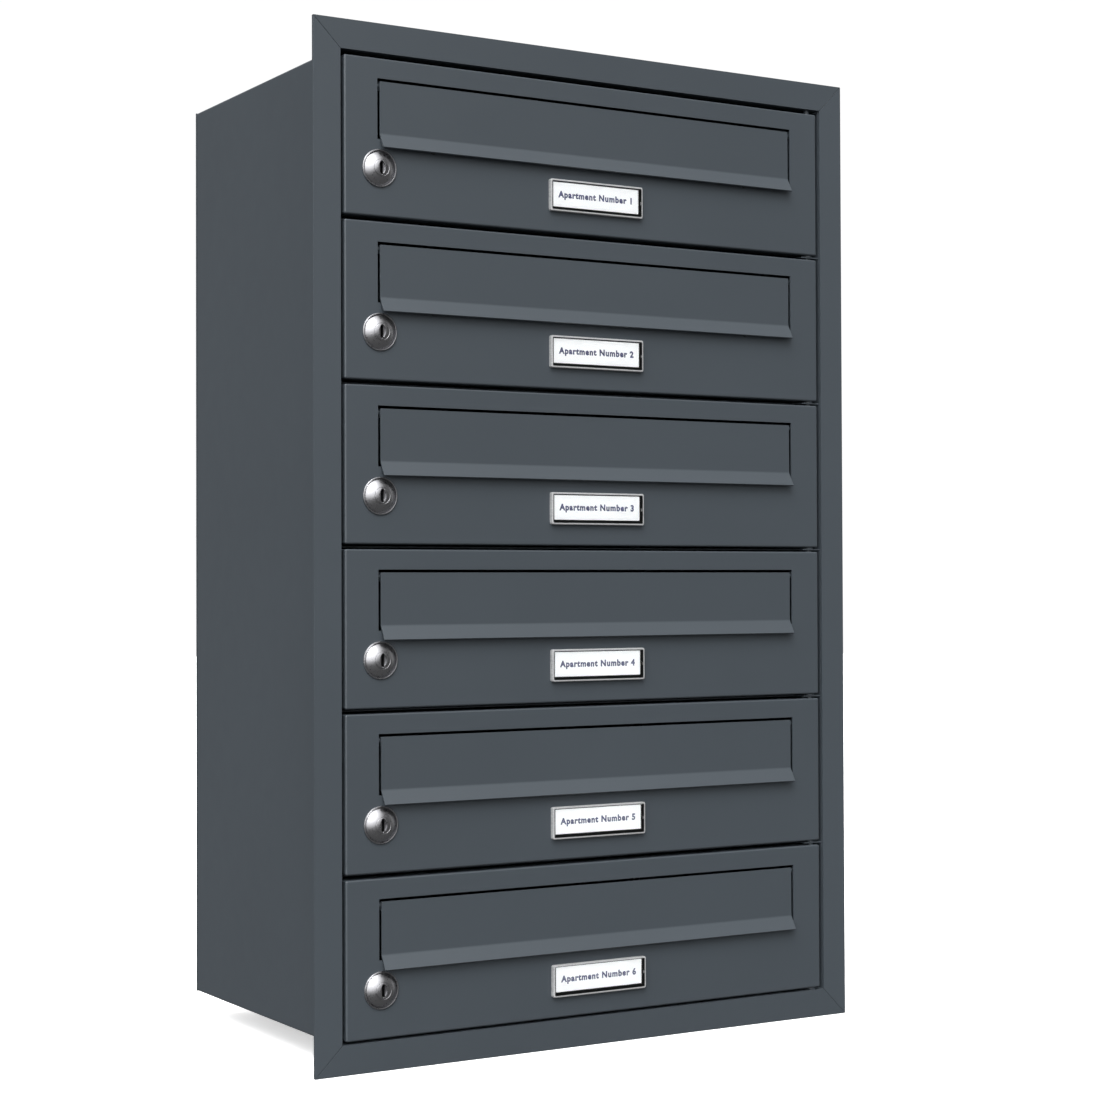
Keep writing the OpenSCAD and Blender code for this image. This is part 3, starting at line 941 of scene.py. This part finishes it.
def lock_body(number):
    """Head, rim and threaded body, bored for the plug."""
    bm = bmesh.new()
    low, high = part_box(f"lock_barrel_{number}")
    centre = (low + high) / 2
    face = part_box(f"door_{number}")[0].y
    rim = face - RIM_THICK
    root = BODY_RADIUS - THREAD_DEEP
    mouth = BORE_RADIUS + BORE_EASE
    profile = [(high.y, BORE_RADIUS), (face - BORE_STRAIGHT, BORE_RADIUS)]
    profile.append((dome_at(mouth, face) + BORE_LIP, BORE_RADIUS))
    for step in range(DOME_STEPS + 1):
        radius = mouth + (DOME_RADIUS - DOME_INSET - mouth) * step / DOME_STEPS
        profile.append((dome_at(radius, face), radius))
    profile += [(rim + deeper, DOME_RADIUS + wider) for deeper, wider in GROOVE]
    profile += [(rim + deeper, HEAD_RADIUS + wider) for deeper, wider in RIM_ROUND]
    profile += [
        (face - HEAD_ROUND, HEAD_RADIUS),
        (face, HEAD_RADIUS - HEAD_ROUND),
        (face, root),
        (high.y - BODY_CHAMFER, root),
        (high.y, root - BODY_CHAMFER),
    ]
    turned(bm, profile, centre, True)
    bmesh.ops.recalc_face_normals(bm, faces=bm.faces)
    start = face + THREAD_START
    stop = high.y - THREAD_STOP
    helix(bm, centre, start, stop, root - THREAD_SUNK, BODY_RADIUS, THREAD_PITCH)
    return bm


nickel = polished_nickel("polished_nickel", NICKEL_TONE)
for n in range(1, rows + 1):
    piece(lock_body(n), f"lock_body_{n}", nickel, f"door_{n}", [f"lock_barrel_{n}"])
    plug = deburred(f"lock_plug_{n}", KEYWAY_EASE)
    piece(plug, f"plug_{n}", nickel, f"lock_{n}", [f"lock_plug_{n}"])
    nut = deburred(f"lock_nut_{n}", BAR_EASE)
    piece(nut, f"nut_{n}", zinc, f"door_{n}", [f"lock_nut_{n}"])
    cam = deburred(f"lock_cam_{n}", SHEET_EASE)
    piece(cam, f"cam_{n}", zinc, f"lock_{n}", [f"lock_cam_{n}"])

# ---- Name plates ----
# A clear polycarbonate cover with a blasted rim is pegged into the door over a
# white paper card with a plain printed line.
PLATE_W = 0.077
PLATE_H = 0.0226
PLATE_THICK = 0.0032
PLATE_CORNER = 0.0014
PLATE_CHAMFER = 0.0005
PLATE_RIM = 0.0012
POCKET_W = 0.0716
POCKET_H = 0.0176
POCKET_DEEP = 0.0008
POCKET_RISE = 0.00075
PEG_RADIUS = 0.0012
PEG_LENGTH = 0.0026
PEG_SUNK = 0.0001
PEG_TAPER = 0.0004
POCKET_CORNER = 0.0004
CORNER_SHARE = 0.5
CLEAR_TONE = (0.97, 0.98, 0.98, 1.0)
CLEAR_IOR = 1.5
CLEAR_ROUGH = (0.015, 0.06)
CLEAR_RELIEF = 0.000003
RUB_SCALE = 500.0
FLOW_SCALE = 160.0
FROST_TONES = ((0.24, 0.245, 0.25), (0.38, 0.385, 0.39))
FROST_ROUGH = (0.30, 0.45)
FROST_GRAIN = (1400.0, 3.0, (1.0, 0.15, 1.0))
FROST_RELIEF = 0.00001
CARD_SLACK = 0.0002
CARD_THICK = 0.00028
CARD_GAP = 0.00008
CARD_CORNER = 0.0003
CARD_TONES = ((0.93, 0.94, 0.95), (0.98, 0.98, 0.98))
CARD_ROUGH = (0.75, 0.9)
CARD_GRAIN = (1500.0, 4.0, (1.0, 1.0, 2.5))
CARD_RELIEF = 0.00001
# Painted glow that brightens the card behind the clear cover, though the card is no lamp
CARD_GLOW_TONE = (0.93, 0.95, 1.0, 1.0)
CARD_PAINTED_GLOW = 0.12
INK_THICK = 0.00003
INK_MERGE = 1e-7
INK_TONES = ((0.020, 0.026, 0.105), (0.034, 0.042, 0.15))
INK_ROUGH = (0.4, 0.6)
INK_GRAIN = (3000.0, 2.0)
INK_RELIEF = 0.000004
TEXT_SIZE = 0.0060
TEXT_SPACING = 1.17
TEXT_BOLD = 0.00030
FROSTED_FACES = 1
PEG_FACES = 2


def clear_plastic(name):
    """Clear polycarbonate with faint rub marks."""
    material, shader, place = paint_box(name)
    shader.inputs["Base Color"].default_value = CLEAR_TONE
    shader.inputs["Transmission Weight"].default_value = 1.0
    shader.inputs["IOR"].default_value = CLEAR_IOR
    rubs = between(material, noise(material, place, RUB_SCALE, 4.0), *CLEAR_ROUGH)
    material.node_tree.links.new(rubs, shader.inputs["Roughness"])
    relief(material, shader, noise(material, place, FLOW_SCALE), CLEAR_RELIEF)
    return material


def plate_cover(centre, face):
    """The clear cover: a chamfered block, hollowed behind for the card, with two pegs."""
    bm = bmesh.new()
    front = face - PLATE_THICK
    bend = PLATE_CHAMFER * BEND_SHARE
    outline = [
        (0.0, face),
        (0.0, front + PLATE_CHAMFER),
        (bend, front + bend),
        (PLATE_CHAMFER, front),
        (PLATE_RIM, front),
    ]
    pocket_z = centre.z + POCKET_RISE
    loops = []
    for y in (face - POCKET_DEEP, face):
        loops.append(rounded_box(centre.x, pocket_z, POCKET_W, POCKET_H, POCKET_CORNER, y))
    for inset, y in outline:
        width = PLATE_W - 2 * inset
        height = PLATE_H - 2 * inset
        corner = PLATE_CORNER - inset * CORNER_SHARE
        loops.append(rounded_box(centre.x, centre.z, width, height, corner, y))
    loft(bm, loops, "caps")
    bmesh.ops.recalc_face_normals(bm, faces=bm.faces)
    return bm


def peg_pair(centre, face):
    """The two pegs behind a cover."""
    bm = bmesh.new()
    for side in (-1, 1):
        place = Vector((centre.x + side * (PLATE_W + POCKET_W) / 4, 0, centre.z))
        base = face - PEG_SUNK
        tip = face + PEG_LENGTH
        profile = [(base, 0.0), (base, PEG_RADIUS), (tip - PEG_TAPER, PEG_RADIUS)]
        profile += [(tip, PEG_RADIUS - PEG_TAPER), (tip, 0.0)]
        turned(bm, profile, place, False)
    return bm


def card(centre, face):
    """The paper card in its pocket."""
    bm = bmesh.new()
    back = face - CARD_GAP
    width = POCKET_W - 2 * CARD_SLACK
    height = POCKET_H - 2 * CARD_SLACK
    z = centre.z + POCKET_RISE
    loops = []
    for y in (back, back - CARD_THICK):
        loops.append(rounded_box(centre.x, z, width, height, CARD_CORNER, y, 2))
    loft(bm, loops, "caps")
    return bm


def printed_line(words, centre, face):
    """A printed line of words as thin raised letters, facing the front."""
    curve = bpy.data.curves.new("words", "FONT")
    curve.body = words
    curve.align_x = "CENTER"
    curve.align_y = "CENTER"
    curve.size = TEXT_SIZE
    curve.space_character = TEXT_SPACING
    curve.offset = TEXT_BOLD
    curve.extrude = INK_THICK / 2
    curve.resolution_u = 3
    holder = bpy.data.objects.new("words", curve)
    scene.collection.objects.link(holder)
    bpy.context.view_layer.update()
    ready = holder.evaluated_get(bpy.context.evaluated_depsgraph_get())
    mesh = bpy.data.meshes.new_from_object(ready)
    bpy.data.objects.remove(holder)
    bpy.data.curves.remove(curve)
    bm = bmesh.new()
    bm.from_mesh(mesh)
    bpy.data.meshes.remove(mesh)
    bmesh.ops.remove_doubles(bm, verts=bm.verts, dist=INK_MERGE)
    front = face - CARD_GAP - CARD_THICK - INK_THICK / 2
    place = Matrix.Translation((centre.x, front, centre.z + POCKET_RISE))
    bmesh.ops.transform(bm, matrix=place @ Matrix.Rotation(pi / 2, 4, "X"), verts=bm.verts)
    return bm


clear = clear_plastic("clear_polycarbonate")
# The blasted rim of the same plastic, which scatters the light
frosted = grained("frosted_rim", FROST_TONES, FROST_ROUGH, FROST_GRAIN, FROST_RELIEF)
# Smooth white card with a little fibre, given a faint painted glow that lifts it to full white
# under the clear cover
paper = grained("white_card", CARD_TONES, CARD_ROUGH, CARD_GRAIN, CARD_RELIEF)
paper_shader = paper.node_tree.nodes["Principled BSDF"]
paper_shader.inputs["Emission Color"].default_value = CARD_GLOW_TONE
paper_shader.inputs["Emission Strength"].default_value = CARD_PAINTED_GLOW
# Navy toner, a little glossier than the card
ink = grained("navy_ink", INK_TONES, INK_ROUGH, INK_GRAIN, INK_RELIEF)
for n in range(1, rows + 1):
    plate_low, plate_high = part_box(f"name_cover_{n}")
    plate_mid = (plate_low + plate_high) / 2
    door_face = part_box(f"door_{n}")[0].y
    cover = joined([plate_cover(plate_mid, door_face), peg_pair(plate_mid, door_face)])
    made_cover = piece(cover, f"plate_cover_{n}", clear, f"door_{n}", [f"name_cover_{n}"])
    made_cover.data.materials.append(frosted)
    made_cover.data.materials.append(moulded)
    for face in made_cover.data.polygons:
        aside = abs(face.center.x - plate_mid.x) > PLATE_W / 2 - PLATE_RIM
        above = abs(face.center.z - plate_mid.z) > PLATE_H / 2 - PLATE_RIM
        if face.center.y > door_face + MERGE:
            face.material_index = PEG_FACES
        elif face.center.y < door_face - MERGE and (aside or above):
            face.material_index = FROSTED_FACES
    piece(card(plate_mid, door_face), f"name_card_{n}", paper, f"door_{n}")
    words = printed_line(f"Apartment Number {n}", plate_mid, door_face)
    piece(words, f"card_print_{n}", ink, f"door_{n}")

# ---- Rubber buffers ----
# Two small black rubber studs under each flap's lip keep it from rattling on
# the door; each is pushed into a hole below the slot.
BUFFER_BASE = 0.005
BUFFER_FACE = 0.0038
BUFFER_HIGH = 0.0011
BUFFER_APART = 0.26
BUFFER_DROP = 0.0042
BUFFER_SHANK = 0.003
BUFFER_LENGTH = 0.0024
SLOT_DROP = 0.0013
RUBBER_TONES = ((0.012, 0.012, 0.013), (0.028, 0.028, 0.029))
RUBBER_ROUGH = (0.72, 0.88)
RUBBER_GRAIN = (900.0, 4.0)
RUBBER_RELIEF = 0.00001

# Matt black rubber with a slight bloom
rubber = grained("black_rubber", RUBBER_TONES, RUBBER_ROUGH, RUBBER_GRAIN, RUBBER_RELIEF)
for n in range(1, rows + 1):
    door_low, door_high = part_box(f"door_{n}")
    mid = (door_low + door_high) / 2
    slot_bottom = mid.z - SLOT_DROP
    buffer_values = {
        "Face diameter": BUFFER_FACE,
        "Base diameter": BUFFER_BASE,
        "Head height": BUFFER_HIGH,
        "Shank diameter": BUFFER_SHANK,
        "Shank length": BUFFER_LENGTH,
        "Count": 2,
        "Start": (mid.x - BUFFER_APART / 2, door_low.y, slot_bottom - BUFFER_DROP),
        "Step": (BUFFER_APART, 0, 0),
        "Turn": (pi / 2, 0, 0),
        "Finish": rubber,
    }
    piece(row_of(studs, buffer_values), f"buffers_{n}", rubber, f"door_{n}")
